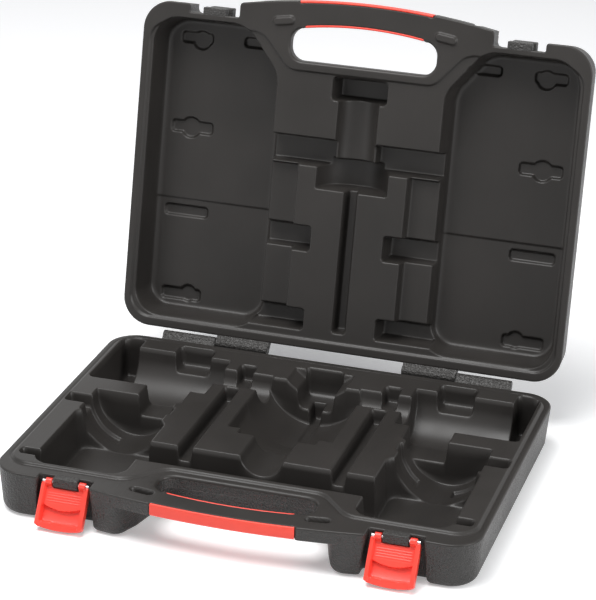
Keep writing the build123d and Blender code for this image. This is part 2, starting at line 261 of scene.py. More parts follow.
def gap_points(a, b, pitch):
    """Points on the straight line between a and b, about pitch apart, without its two ends."""
    n = int(np.linalg.norm(b - a) / pitch)
    t = np.linspace(0, 1, n + 1)[1:-1, None]
    return a * (1 - t) + b * t


def filleted(points, radii, inset=0.0, pitch=1.2):
    """A closed line through points, counter-clockwise, moved inwards by inset, each corner
    rounded with an arc tangent to both sides: radius less inset where it bulges, plus inset
    where it is hollow.  Gives points about pitch apart."""
    p = np.asarray(points, float)
    r = np.asarray(radii, float)
    nxt, prv = np.roll(p, -1, 0), np.roll(p, 1, 0)
    e1 = (p - prv) / np.linalg.norm(p - prv, axis=1, keepdims=True)
    e2 = (nxt - p) / np.linalg.norm(nxt - p, axis=1, keepdims=True)
    n1 = np.stack([-e1[:, 1], e1[:, 0]], 1)
    n2 = np.stack([-e2[:, 1], e2[:, 0]], 1)
    bend = e1[:, 0] * e2[:, 1] - e1[:, 1] * e2[:, 0]
    half = (n1 + n2) / np.maximum(1e-9, np.linalg.norm(n1 + n2, axis=1, keepdims=True))
    q = p + half * (inset / np.maximum(0.2, (half * n1).sum(1)))[:, None]
    ang = np.arctan2(bend, (e1 * e2).sum(1))
    rr = np.where(r > 0, np.maximum(0.25, np.where(bend > 0, r - inset, r + inset)), 0.0)
    cut = rr * np.tan(np.abs(ang) / 2)
    out = []
    for i in range(len(q)):
        if rr[i] < 1e-6 or abs(ang[i]) < 1e-4:
            arc = q[i:i + 1]
        else:
            start = q[i] - e1[i] * cut[i]
            normal = n1[i] * np.sign(ang[i])
            centre = start + normal * rr[i]
            count = max(4, int(np.ceil(rr[i] * abs(ang[i]) / pitch)) + 1)
            t = np.linspace(0, ang[i], count)[:, None]
            spoke = start - centre
            arc = centre + spoke * np.cos(t) + np.array([-spoke[1], spoke[0]]) * np.sin(t)
        if out:
            out.append(gap_points(out[-1][-1], arc[0], pitch))
        out.append(arc)
    out.append(gap_points(out[-1][-1], out[0][0], pitch))
    line = np.concatenate(out)
    keep = np.linalg.norm(line - np.roll(line, 1, 0), axis=1) > 0.08
    return line[keep]


def bow_points(n=15):
    """Points along the bowed edge, left to right."""
    x = np.linspace(-BOW_X, BOW_X, n)
    return np.stack([x, bow_v(x)], 1)


WALL_X = WIDTH / 2
LEFT_CORNERS = [(-WALL_X, 0), (-CHANNEL_X, 0), (-CHANNEL_X, CHANNEL_V), (-BOW_X, CHANNEL_V)]
LEFT_RADII = [29, 3, 1.5, 1.5]
RIGHT_CORNERS = [(BOW_X, CHANNEL_V), (CHANNEL_X, CHANNEL_V), (CHANNEL_X, 0), (WALL_X, 0),
                 (WALL_X, DEPTH), (-WALL_X, DEPTH)]
RIGHT_RADII = [1.5, 1.5, 3, 29, 29, 29]
BOW_CORNER = 4


def outline(inset=0.0, pitch=1.2):
    """The half's outline, moved inwards by inset."""
    bow = bow_points()
    pts = np.concatenate([LEFT_CORNERS, bow, RIGHT_CORNERS])
    radii = np.concatenate([LEFT_RADII, [BOW_CORNER], np.zeros(len(bow) - 2), [BOW_CORNER], RIGHT_RADII])
    return filleted(pts, radii, inset, pitch)


HOLE_X, HOLE_V0, HOLE_V1, HOLE_END_V, HOLE_R = 75.0, 7.0, 45.0, 14.5, 14.0
GRIP_WALL, GRIP_OUT_X, GRIP_IN_X = 2.5, 68.0, 60.0      # the red sleeve on the bar
HOLE_RISE = HOLE_END_V - HOLE_V0
HOLE_ARC_R = (HOLE_X ** 2 + HOLE_RISE ** 2) / (2 * HOLE_RISE)


def hole_v(x, off=0.0):
    """V of the hand hole's front side at x: an arc that follows the bow."""
    return HOLE_V0 + HOLE_ARC_R - np.sqrt((HOLE_ARC_R + off) ** 2 - np.asarray(x, float) ** 2)


def hand_hole(inset=0.0, pitch=1.2):
    """The hand hole's line; a negative inset moves it outwards."""
    x = np.linspace(-HOLE_X, HOLE_X, 11)
    pts = np.concatenate([np.stack([x, hole_v(x)], 1), [(HOLE_X, HOLE_V1), (-HOLE_X, HOLE_V1)]])
    radii = np.concatenate([[HOLE_R], np.zeros(9), [HOLE_R, HOLE_R, HOLE_R]])
    return filleted(pts, radii, inset, pitch)


def apart(points, loop):
    """Signed distance from points to a closed line, positive inside.  The plane is cut into
    square cells, and each cell's points meet only the segments that can be nearest to it; inside
    is told by counting how often a ray to the right crosses the line."""
    if not len(points):
        return np.zeros(0)
    a, b = loop, np.roll(loop, -1, 0)
    d = b - a
    dd = np.maximum(1e-12, (d * d).sum(1))
    mid, reach = (a + b) / 2, np.sqrt(dd) / 2
    low, high = np.minimum(a[:, 1], b[:, 1]), np.maximum(a[:, 1], b[:, 1])
    far_x = np.maximum(a[:, 0], b[:, 0])
    side = 12.0      # of a cell, in mm
    cell = np.floor(points / side).astype(int)
    row_step = 4096      # more cells than any column holds, so that no two cells share a key
    key = cell[:, 0] * row_step + cell[:, 1]
    order = np.argsort(key, kind="stable")
    starts = np.flatnonzero(np.diff(key[order], prepend=key[order[0]] - 1))
    out = np.empty(len(points))
    for s, e in zip(starts, np.append(starts[1:], len(points))):
        who = order[s:e]
        p = points[who]
        centre = (cell[who[0]] + 0.5) * side
        gap = np.hypot(*(mid - centre).T)
        near = gap - reach < (gap + reach).min() + 1.5 * side
        pa, pd = a[near], d[near]
        q = p[:, None, :] - pa
        t = np.clip((q * pd).sum(2) / dd[near], 0, 1)
        q -= pd * t[..., None]
        dist = np.sqrt((q * q).sum(2).min(1))
        row = (low <= p[:, 1].max()) & (high >= p[:, 1].min()) & (far_x >= p[:, 0].min())
        ra, rb = a[row], b[row]
        py = p[:, 1][:, None]
        rise = np.where(np.abs(rb[:, 1] - ra[:, 1]) < 1e-12, 1e-12, rb[:, 1] - ra[:, 1])
        hit = ((ra[:, 1] <= py) != (rb[:, 1] <= py)) & (
            p[:, 0][:, None] < ra[:, 0] + (py - ra[:, 1]) / rise * (rb[:, 0] - ra[:, 0]))
        out[who] = np.where(hit.sum(1) % 2 == 1, dist, -dist)
    return out


# ---------------------------------------------------------------- how a moulded skin is made
# Each skin is a height over the plan.  The nests are cut as hard steps on a fine raster, which
# is then smoothed a little, as a blown wall rounds every edge, and read back at the mesh points.

PITCH = 0.5
FIELD_X, FIELD_V0, FIELD_V1 = 236, -24, 340      # the raster's limits, just past the outline
RX = np.arange(-FIELD_X, FIELD_X + PITCH, PITCH)
RV = np.arange(FIELD_V0, FIELD_V1 + PITCH, PITCH)
GX, GV = np.meshgrid(RX, RV)
NO_CUT = 99.0            # the height of a hollow outside its plan, above everything
END_SLOPE = 26.0         # rise over run of the nearly upright ends of round hollows


def smoothed(height, width):
    """Gaussian blur of a raster, width in mm."""
    s = width / PITCH
    n = int(np.ceil(3 * s))
    k = np.exp(-0.5 * (np.arange(-n, n + 1) / s) ** 2)
    k /= k.sum()
    pad = np.pad(height, n, mode="edge")
    rows = sum(k[i] * pad[i:i + height.shape[0], :] for i in range(2 * n + 1))
    return sum(k[i] * rows[:, i:i + height.shape[1]] for i in range(2 * n + 1))


def read(raster, points):
    """Raster height at points, by bilinear interpolation."""
    fx = np.clip((points[:, 0] - RX[0]) / PITCH, 0, len(RX) - 1.001)
    fv = np.clip((points[:, 1] - RV[0]) / PITCH, 0, len(RV) - 1.001)
    i, j = fx.astype(int), fv.astype(int)
    a, b = fx - i, fv - j
    return ((raster[j, i] * (1 - a) + raster[j, i + 1] * a) * (1 - b)
            + (raster[j + 1, i] * (1 - a) + raster[j + 1, i + 1] * a) * b)


def box_sdf(x0, x1, v0, v1, r, x=None, v=None):
    """Distance inside a rounded rectangle, positive inside."""
    x = GX if x is None else x
    v = GV if v is None else v
    qx = abs(x - (x0 + x1) / 2) - (x1 - x0) / 2 + r
    qv = abs(v - (v0 + v1) / 2) - (v1 - v0) / 2 + r
    return -(np.hypot(np.maximum(qx, 0), np.maximum(qv, 0)) + np.minimum(np.maximum(qx, qv), 0) - r)


def walled(inside, depth, lean=3.0, foot=3.0):
    """Height of a hollow from the distance inside its plan: a wall that leans by lean degrees,
    then a quarter-round foot, then a flat floor; far above everything outside the plan."""
    run = math.tan(math.radians(lean))
    w = (depth - foot) * run
    t = np.maximum(inside, 0)
    wall = -t / run
    arc = -(depth - foot) - np.sqrt(np.maximum(0, foot ** 2 - np.maximum(0, w + foot - t) ** 2))
    z = np.where(t < w, wall, np.where(t < w + foot, arc, -depth))
    return np.where(inside > 0, z, NO_CUT)


def nest(x0, x1, v0, v1, depth, r=5.0, lean=3.0, foot=3.0):
    """A flat-bottomed hollow with rounded plan corners."""
    return walled(box_sdf(x0, x1, v0, v1, r), depth, lean, foot)


def trough(v0, v1, r, lift=0.0):
    """A round-bottomed hollow on the middle line: a cylinder of radius r whose axis runs along V
    at height lift, cut off by nearly upright ends at v0 and v1."""
    bed = lift - np.sqrt(np.maximum(0, r * r - GX ** 2))
    edge = np.minimum(GV - v0, v1 - GV)
    ends = -np.maximum(edge, 0) / math.tan(math.radians(2.0))
    return np.where((np.abs(GX) < r) & (edge > 0), np.maximum(bed, ends), NO_CUT)


def cradle(across_, along_, a0, a1, r, kept=True):
    """A round-bottomed hollow with its axis in the mating plane: radius r about across_ = 0, from
    a0 to a1 along the other way, cut only where kept is true."""
    bed = -np.sqrt(np.maximum(0, r * r - across_ ** 2))
    edge = np.minimum(along_ - a0, a1 - along_)
    ends = -np.maximum(edge, 0) * END_SLOPE
    return np.where((np.abs(across_) < r) & (edge > 0) & kept, np.maximum(bed, ends), NO_CUT)


def tilted_bed(v0, v1, d0, d1, r1, half0, half1, v_step):
    """A bed on the middle line that falls from depth d0 to d1 while its cross-section bends
    from nearly flat to radius r1; its plan widens from half0 to half1 at v_step."""
    t = np.clip((GV - v0) / (v1 - v0), 0, 1)
    flat_r = 150
    k = 1 / flat_r + (1 / r1 - 1 / flat_r) * t
    depth = d0 + (d1 - d0) * t - (1 / k - np.sqrt(np.maximum(0, 1 / k ** 2 - GX ** 2)))
    half = np.where(GV < v_step, half0, half1)
    edge = half - np.abs(GX)
    return np.where((edge > 0) & (GV > v0) & (GV < v1), -np.minimum(depth, edge * END_SLOPE), NO_CUT)


def steep(raster):
    """Slope and bend of a raster, to say where the mesh has to be fine."""
    gv, gx = np.gradient(raster, PITCH)
    slope = np.hypot(gx, gv)
    bend = np.hypot(*np.gradient(slope, PITCH))
    return slope, bend


def plan_points(raster, loops, fine=0.9, margin=1.0):
    """Mesh points inside the loops: a lattice whose pitch falls from eight times fine to fine
    where the raster is steep or bends."""
    slope, bend = steep(raster)
    need = np.maximum(slope, bend * 3.0)
    need = smoothed(need, 1.0)
    chosen = []
    for level, low in ((8, -1.0), (4, 0.03), (2, 0.10), (1, 0.45)):
        step = fine * level
        x = np.arange(math.floor(-FIELD_X / step) * step, FIELD_X, step)
        v = np.arange(math.floor(FIELD_V0 / step) * step, FIELD_V1, step)
        X, V = np.meshgrid(x, v)
        P = np.stack([X.ravel(), V.ravel()], 1)
        chosen.append(P[read(need, P) > low])
    P = np.unique(np.round(np.concatenate(chosen), 4), axis=0)
    ok = np.ones(len(P), bool)
    for loop, sign in loops:
        near = apart(P, loop) * sign
        ok &= near > margin
    return P[ok]


def triangles(points, loops):
    """Delaunay triangles of points; those outside the loops are left out."""
    result = delaunay_2d_cdt([Vector(p) for p in points], [], [], 0, 1e-6)
    verts = np.array([tuple(v) for v in result[0]])
    faces = np.array([f for f in result[2] if len(f) == 3], int)
    order = np.array([o[0] if o else -1 for o in result[3]])
    faces = order[faces]
    faces = faces[(faces >= 0).all(1)]
    a, b, c = (points[faces[:, i]] for i in range(3))
    turn_ = (b[:, 0] - a[:, 0]) * (c[:, 1] - a[:, 1]) - (b[:, 1] - a[:, 1]) * (c[:, 0] - a[:, 0])
    faces = faces[np.abs(turn_) > 1e-6]
    turn_ = turn_[np.abs(turn_) > 1e-6]
    faces[turn_ < 0] = faces[turn_ < 0][:, ::-1]
    mid = points[faces].mean(1)
    ok = np.ones(len(faces), bool)
    for loop, sign in loops:
        ok &= apart(mid, loop) * sign > 0
    return faces[ok]


def edge_drop(distance, r=1.5):
    """How far a skin falls away close to its rim: a quarter round of radius r."""
    t = np.clip(r - distance, 0, r)
    return r - np.sqrt(np.maximum(0, r * r - t * t))


LOW_INSETS = (0.0, 0.5, 1.1, 1.8, 2.5, 3.1, 3.5, 4.1, 5.0, 6.4, 8.4, 11.0, 13.5)
FOOT = 9.0
WALL_RUN = math.tan(math.radians(5.0))


WELL_MOUTH_X = 98.5      # where the hollow under the flange opens through the bow
WELL_BEND, WELL_BACK = (87, 18), (80, 50)
WELL_RADII = [17, 40, 10, 10, 40, 17]
FEET_X = 108             # the feet beside the hollow keep the bow's own points outside this


def low_loop(inset=0.0, pitch=1.2):
    """Outline of the deep part of a half: the outline with the hollow under the flange let in."""
    bow = bow_points(41)
    bow = bow[np.abs(bow[:, 0]) > FEET_X]
    left, right_ = bow[bow[:, 0] < 0], bow[bow[:, 0] > 0]
    one_side = np.array([(WELL_MOUTH_X, float(bow_v(WELL_MOUTH_X))), WELL_BEND, WELL_BACK])
    hollow = np.concatenate([one_side * (-1, 1), one_side[::-1]])
    pts = np.concatenate([LEFT_CORNERS, left, hollow, right_, RIGHT_CORNERS])
    radii = np.concatenate([LEFT_RADII, [BOW_CORNER], np.zeros(len(left) - 1), WELL_RADII,
                            np.zeros(len(right_) - 1), [BOW_CORNER], RIGHT_RADII])
    return filleted(pts, radii, inset, pitch)


def outer_depth(points, rim, hole):
    """Depth of the outer skin below the mating plane: a wall that leans in by 5 degrees, a
    quarter-round foot and a flat bottom; under the carrying flange it stops at the flange."""
    d = apart(points, low_loop())
    straight = HALF - FOOT
    w = straight * WALL_RUN
    t = np.maximum(d, 0)
    foot = straight + np.sqrt(np.maximum(0, FOOT ** 2 - np.maximum(0, w + FOOT - t) ** 2))
    wall = np.where(t < w, t / WALL_RUN, foot)
    wall = np.where(t > w + FOOT, HALF, wall)
    x, v = points[:, 0], points[:, 1]
    near_well = np.clip((110.0 - np.abs(x)) / 3.0, 0, 1) * np.clip((60 - v) / 4, 0, 1)
    under_grip = np.clip((68.0 - np.abs(x)) / 0.8, 0, 1) * (v < hole_v(np.clip(x, -74, 74)) + 2)
    base = 1.5 + (FLANGE - 2.6 * under_grip - 1.5) * near_well * near_well * (3 - 2 * near_well)
    k = 2.0
    h = np.clip(0.5 + 0.5 * (wall - base) / k, 0, 1)
    depth = base * (1 - h) + wall * h + k * h * (1 - h)
    depth = np.minimum(depth, HALF)
    round_off = edge_drop(np.minimum(rim, hole), 1.5) * near_well
    return depth - round_off


def mesh_object(name, verts, faces, material_index=None, materials=(), smooth_angle=None):
    """A mesh object at the origin from arrays in metres; faces all have the same number of corners
    or are a list of such arrays."""
    groups = faces if isinstance(faces, list) else [faces]
    mesh = bpy.data.meshes.new(name)
    counts = np.concatenate([np.full(len(g), g.shape[1]) for g in groups])
    flat = np.concatenate([g.ravel() for g in groups]).astype(np.int32)
    mesh.vertices.add(len(verts))
    mesh.vertices.foreach_set("co", np.asarray(verts, np.float32).ravel())
    mesh.loops.add(len(flat))
    mesh.loops.foreach_set("vertex_index", flat)
    mesh.polygons.add(len(counts))
    starts = np.concatenate([[0], np.cumsum(counts)[:-1]]).astype(np.int32)
    mesh.polygons.foreach_set("loop_start", starts)
    mesh.polygons.foreach_set("loop_total", counts.astype(np.int32))
    mesh.polygons.foreach_set("use_smooth", np.ones(len(counts), bool))
    if material_index is not None:
        mesh.polygons.foreach_set("material_index", np.asarray(material_index, np.int32))
    for m in materials:
        mesh.materials.append(m)
    mesh.update(calc_edges=True)
    mesh.validate()
    obj = bpy.data.objects.new(name, mesh)
    scene.collection.objects.link(obj)
    if smooth_angle is not None:
        mesh.set_sharp_from_angle(angle=math.radians(smooth_angle))
    return obj


def let_in(loop, front):
    """Steps a rim back by the sleeve's wall where the grip wraps the bar; front is true for the
    outline and false for the hand hole."""
    out = loop.copy()
    x, v = out[:, 0], out[:, 1]
    reach, side = (GRIP_OUT_X, v < 0) if front else (GRIP_IN_X, v < hole_v(np.clip(x, -74, 74)) + 4)
    share = np.clip((reach + 0.4 - np.abs(x)) / 0.5, 0, 1) * side
    out[:, 1] += share * (GRIP_WALL if front else -GRIP_WALL)
    return out


def skins(inner, fine):
    """One half as a closed skin.  The inner raster gives its nests, outer_depth its outside; the
    two meet along the outline and the hand hole.  Gives vertices in mm in the half's own frame
    (mating plane at zero, body below), faces, and 1 for each face of the outside."""
    rim_in = [let_in(outline(d), True) for d in (0.0, 0.25, 0.7, 1.3, 2.1)]
    hole_in = [let_in(hand_hole(-d), False) for d in (0.0, 0.25, 0.7, 1.3, 2.1, 3.0)]
    loops = [(rim_in[0], 1), (hole_in[0], -1)]
    n_rim, n_hole = len(rim_in[0]), len(hole_in[0])
    bound = np.concatenate([rim_in[0], hole_in[0]])

    rings = np.concatenate(rim_in[1:] + hole_in[1:])
    lattice = plan_points(inner, loops, fine, 2.6)
    P = np.concatenate([bound, rings, lattice])
    to_rim, to_hole = np.maximum(apart(P, rim_in[0]), 0), np.maximum(-apart(P, hole_in[0]), 0)
    to_rim[:n_rim] = 0
    to_hole[n_rim:n_rim + n_hole] = 0
    on_grip = (np.abs(P[:, 0]) < GRIP_OUT_X - 4) & (P[:, 1] < hole_v(np.clip(P[:, 0], -74, 74)) + 4)
    z_in = read(inner, P) - np.where(on_grip, edge_drop(np.minimum(to_rim, to_hole), 0.5),
                                     np.maximum(edge_drop(to_rim), edge_drop(to_hole, 3.0)))
    F_in = triangles(P, loops)

    low = [low_loop(d, 1.6) for d in LOW_INSETS]
    well_rings = np.concatenate(low)
    well_rings = well_rings[(apart(well_rings, rim_in[0]) > 0.4) & (-apart(well_rings, hole_in[0]) > 0.8)]
    step = 8.0
    X, V = np.meshgrid(np.arange(-232, 233, step), np.arange(16, 330, step))
    lat = np.stack([X.ravel(), V.ravel()], 1)
    lat = lat[apart(lat, low[-1]) > 2.0]
    X, V = np.meshgrid(np.arange(-116, 117, 3.0), np.arange(-20, 52, 3.0))
    fl = np.stack([X.ravel(), V.ravel()], 1)
    fl = fl[(apart(fl, low[0]) < -1.5) & (apart(fl, rim_in[-1]) > 0.8) & (-apart(fl, hole_in[-1]) > 0.8)]
    extra = rings[apart(rings, low[0]) < -0.8]
    Q = np.concatenate([well_rings, lat, fl, extra])
    Q = np.unique(np.round(Q, 3), axis=0)
    Q = np.concatenate([bound, Q])
    to_rim, to_hole = apart(Q, rim_in[0]), -apart(Q, hole_in[0])
    to_rim[:len(bound)] = 0
    z_out = -outer_depth(Q, np.maximum(to_rim, 0), np.maximum(to_hole, 0))
    F_out = triangles(Q, loops)[:, ::-1]

    base = len(P)
    verts = np.concatenate([np.column_stack([P, z_in]), np.column_stack([Q, z_out])])
    sides = []
    for start, count in ((0, n_rim), (n_rim, n_hole)):
        i = np.arange(count) + start
        j = np.roll(np.arange(count), -1) + start
        sides.append(np.stack([i, i + base, j + base, j], 1))
    sides = np.concatenate(sides)
    quads = np.concatenate([sides[:n_rim], sides[n_rim:][:, ::-1]])
    tri = np.concatenate([F_in, F_out + base])
    where = np.concatenate([np.zeros(len(F_in)), np.ones(len(F_out)), np.ones(len(quads))])
    return verts, [tri, quads], where


def to_row(verts):
    """Base half frame, mm, to the row frame, metres."""
    out = np.array(verts, float)
    out[:, 1] -= DEPTH / 2
    out[:, 2] += HALF
    return out / 1000


HINGE_BACK = 7.5         # the hinge axis behind the back edge
MATE_GAP = 0.4           # between the two mating planes when shut
HINGE_Y, HINGE_Z, OPEN = DEPTH / 2 + HINGE_BACK, HALF + 0.2, math.radians(102.0)


def lid_to_row(verts):
    """Lid half frame, mm, to where the open lid lies: turned face down, then swung back."""
    v = np.array(verts, float)
    y, z = v[:, 1] - DEPTH / 2 - HINGE_Y, HALF + MATE_GAP - v[:, 2] - HINGE_Z
    c, s = math.cos(-OPEN), math.sin(-OPEN)
    out = np.column_stack([v[:, 0], HINGE_Y + y * c - z * s, HINGE_Z + y * s + z * c])
    return out / 1000


def turned_faces(groups):
    """The same faces wound the other way, for a mirrored half."""
    return [g[:, ::-1] for g in groups]


# finest pitch of the halves' mesh, in mm
FINE = 0.9

# ---------------------------------------------------------------- knuckles, bars, pegs
# Small solid lumps of the same moulding: hinge knuckles, the bars the latches hang on, the
# catches they grip and the locating pegs.


def soft_block(lo, hi, r, n=4):
    """A box with rounded edges: points of a cube's surface pulled to a smaller core box and
    pushed out from it by r along their own direction."""
    lo, hi = np.asarray(lo, float), np.asarray(hi, float)
    half = (hi - lo) / 2
    centre = (lo + hi) / 2
    r = min(r, half.min() * 0.98)

    def axis(h):
        a = np.linspace(0, 1, n + 1) * r
        return np.unique(np.round(np.concatenate([-h + a, h - a]), 5))

    verts, faces, count = [], [], 0
    for k in range(3):
        i, j = (k + 1) % 3, (k + 2) % 3
        A, B = np.meshgrid(axis(half[i]), axis(half[j]), indexing="ij")
        for sign in (1, -1):
            q = np.zeros(A.shape + (3,))
            q[..., i], q[..., j], q[..., k] = A, B, sign * half[k]
            core = np.clip(q, -(half - r), half - r)
            d = q - core
            d /= np.maximum(1e-9, np.linalg.norm(d, axis=-1, keepdims=True))
            p = (core + r * d + centre).reshape(-1, 3)
            na, nb = A.shape
            idx = np.arange(na * nb).reshape(na, nb) + count
            f = np.stack([idx[:-1, :-1], idx[1:, :-1], idx[1:, 1:], idx[:-1, 1:]], -1).reshape(-1, 4)
            faces.append(f if sign > 0 else f[:, ::-1])
            verts.append(p)
            count += len(p)
    verts = np.concatenate(verts)
    faces = np.concatenate(faces)
    _, first, inverse = np.unique(np.round(verts, 4), axis=0, return_index=True, return_inverse=True)
    return verts[first], inverse.ravel()[faces]


def carried(profile, xs, scale=None):
    """A closed profile in (V, Z) carried along X through the stations xs, with flat ends; scale
    shrinks the profile about its middle at each station to round the ends."""
    profile = np.asarray(profile, float)
    xs = np.asarray(xs, float)
    mid = profile.mean(0)
    scale = np.ones(len(xs)) if scale is None else np.asarray(scale)
    n = len(profile)
    rings = mid + (profile - mid)[None] * scale[:, None, None]
    verts = np.concatenate([np.repeat(xs[:, None], n, 1)[..., None], rings], -1).reshape(-1, 3)
    i = np.arange(n)
    j = np.roll(i, -1)
    k = np.arange(len(xs) - 1)[:, None] * n
    quads = np.stack([k + i, k + j, k + n + j, k + n + i], -1).reshape(-1, 4)
    ends = [(xs[0], *mid), (xs[-1], *mid)]
    a, b = len(verts), len(verts) + 1
    verts = np.concatenate([verts, ends])
    last = (len(xs) - 1) * n
    caps = np.concatenate([np.stack([np.full(n, a), j, i], 1),
                           np.stack([np.full(n, b), last + i, last + j], 1)])
    ahead = np.roll(profile, -1, 0)
    area = 0.5 * np.sum(profile[:, 0] * ahead[:, 1] - ahead[:, 0] * profile[:, 1])
    if area < 0:
        quads, caps = quads[:, ::-1], caps[:, ::-1]
    return verts, quads, caps


KNUCKLE_R = 5.5


def knuckle_profile(n=28):
    """Hinge barrel in (V, Z) with its web: most of a circle round the axis, run into the wall."""
    axis_v, axis_z = DEPTH + HINGE_BACK, 0.2
    t = np.radians(np.linspace(-92, 138, n))
    circle = np.stack([axis_v + KNUCKLE_R * np.cos(t), axis_z + KNUCKLE_R * np.sin(t)], 1)
    wall = np.array([(DEPTH + 1.5, -0.2), (DEPTH - 6.0, -0.6), (DEPTH - 6.0, -12.0), (DEPTH - 2.6, -12.0)])
    return np.concatenate([circle, wall])


def knuckle(x0, x1):
    """One knuckle between two X values, its ends softly rounded."""
    xs = [x0, x0 + 0.25, x0 + 0.9, x1 - 0.9, x1 - 0.25, x1]
    return carried(knuckle_profile(), xs, [0.90, 0.965, 1, 1, 0.965, 0.90])


class Lumps:
    """Gathers vertices and faces of several closed lumps."""

    def __init__(self, verts, groups, where):
        self.verts = [verts]
        self.groups = list(zip(groups, where))
        self.count = len(verts)

    def add(self, verts, *groups, side=1):
        for g in groups:
            self.groups.append((g + self.count, np.full(len(g), side)))
        self.verts.append(verts)
        self.count += len(verts)

    def done(self):
        tri = [(g, w) for g, w in self.groups if g.shape[1] == 3]
        quad = [(g, w) for g, w in self.groups if g.shape[1] == 4]
        faces, where = [], []
        for kind in (tri, quad):
            if kind:
                faces.append(np.concatenate([g for g, w in kind]))
                where.append(np.concatenate([w for g, w in kind]))
        return np.concatenate(self.verts), faces, np.concatenate(where)


def gather(skin):
    """Starts a gathering from a half's skin."""
    verts, (tri, quads), where = skin
    return Lumps(verts, [tri, quads], [where[:len(tri)], where[len(tri):]])


def peg_sdf(side):
    """Distance inside a locating peg's plan: a slot-shaped patch turned to follow the bow."""
    a = math.radians(9.0) * side
    x, v = GX - side * 83.0, GV - 6.8
    p, q = x * math.cos(a) + v * math.sin(a), -x * math.sin(a) + v * math.cos(a)
    return 4.0 - np.hypot(np.maximum(np.abs(p) - 7.0, 0), q)


def line_sdf(line, x0, v0, at_x):
    """Distance inside a closed line, over the raster: worked out on a coarse lattice that starts
    at (x0, v0) and read between its points, with X taken from at_x."""
    coarse = 2.0
    x, v = np.arange(x0, FIELD_X + 1, coarse), np.arange(v0, FIELD_V1 + 1, coarse)
    X, V = np.meshgrid(x, v)
    d = apart(np.stack([X.ravel(), V.ravel()], 1), line).reshape(X.shape)
    fx = np.clip((at_x - x0) / coarse, 0, len(x) - 1.001)
    fv = np.clip((GV - v0) / coarse, 0, len(v) - 1.001)
    i, j = fx.astype(int), fv.astype(int)
    a, b = fx - i, fv - j
    near, far = (d[j + k, i] * (1 - a) + d[j + k, i + 1] * a for k in (0, 1))
    return near * (1 - b) + far * b


def tongue_sdf(grow=0.0):
    """Distance inside the tongue's plan, a field stepped back behind the hand hole."""
    x1 = WIDTH / 2 - 8.0
    pts = [(-x1, 21), (-105, 21), (-75, 55), (75, 55), (105, 21), (x1, 21), (x1, 324), (-x1, 324)]
    line = filleted(pts, [20, 22, 18, 18, 22, 20, 21, 21], -grow, 1.5)
    return line_sdf(line, -FIELD_X, FIELD_V0, GX)


LATCH_X, BAR_HALF = 156, 12


def latch_bar(side):
    """The bar that a latch hangs on, across the top of its channel."""
    return soft_block((side * LATCH_X - BAR_HALF, 2.2, -9.5), (side * LATCH_X + BAR_HALF, 10.5, 0.0), 0.9)


# ---------------------------------------------------------------- base_shell
# Lower half: one black twin-wall moulding.  Deep nests stand in mirrored pairs round a central
# block with a bowl and neck; the outer hinge knuckles and the latch bars are part of it.

cuts = []
AX = np.abs(GX)
for x0, x1, v0, v1, depth, r in (
        (110, 199, 26, 150, 40, 16), (196, 216, 38, 50, 12, 4), (190, 220, 160, 178, 12, 4),
        (112, 155, 188, 224, 20, 3), (195, 217, 218, 320, 40, 5), (68, 82, 96, 240, 13, 3),
        (67, 83, 268, 296, 14, 4)):
    cuts.append(walled(box_sdf(x0, x1, v0, v1, r, AX, GV), depth, 2.5))
SIDE_X = AX - 157        # from the middle of the round side nests
cuts.append(cradle(SIDE_X, GV, 146, 193, 41))
cuts.append(cradle(SIDE_X, GV, 162, 178, 44, (SIDE_X > 10) | (SIDE_X < -24)))
cuts.append(walled(box_sdf(118, 155, 274, 318, 5, AX, GV), 18, 2.5, 5.0))
cuts.append(cradle(GV - 259, AX, 97, 198, 41))
cuts.append(cradle(GV - 262, AX, 45, 99, 18))
cuts.append(nest(-124, 124, 62, 100, 40, 5))
cuts.append(trough(92, 156, 21, 5))
cuts.append(tilted_bed(147, 216, 14, 43, 51.5, 38, 51, 158))
cuts.append(trough(214, 277, 51.5, 8.5))
cuts.append(nest(-7.5, 7.5, 232, 296, 44, 2))
cuts.append(walled(box_sdf(-19, 19, 270, 312, 4), 27, 2.0, 8.0))
cuts.append(np.where((AX < 30) & (GV > 270) & (GV < 307), -np.clip((30 - AX) * 0.75, 0, 8), NO_CUT))
tongue = tongue_sdf()
base_inner = 2.0 * np.clip((tongue + 0.4) / 0.8, 0, 1)
base_inner -= 0.9 * np.exp(-((tongue + 1.6) / 0.9) ** 2)
cuts += [walled(peg_sdf(s), 8.0, 2.0, 0.8) for s in (1, -1)]
for cut in cuts:
    base_inner = np.minimum(base_inner, cut)
base_inner = smoothed(base_inner, 0.55)

lumps = gather(skins(base_inner, FINE))
for s in (1, -1):
    lumps.add(*latch_bar(s))
    a, b = sorted((s * 126.7, s * 182.8))
    lumps.add(*knuckle(a, b))
verts, groups, where = lumps.done()
base_shell = mesh_object("base_moulding", to_row(verts), groups, where, (satin_black, grained_black))
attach(base_shell, "base")
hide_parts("base_shell")

# ---------------------------------------------------------------- lid_shell
# Upper half, lying open on the hinge: two big side compartments with small kiss-off dimples, and
# a raised centre with a stepped nest for a headed tool.

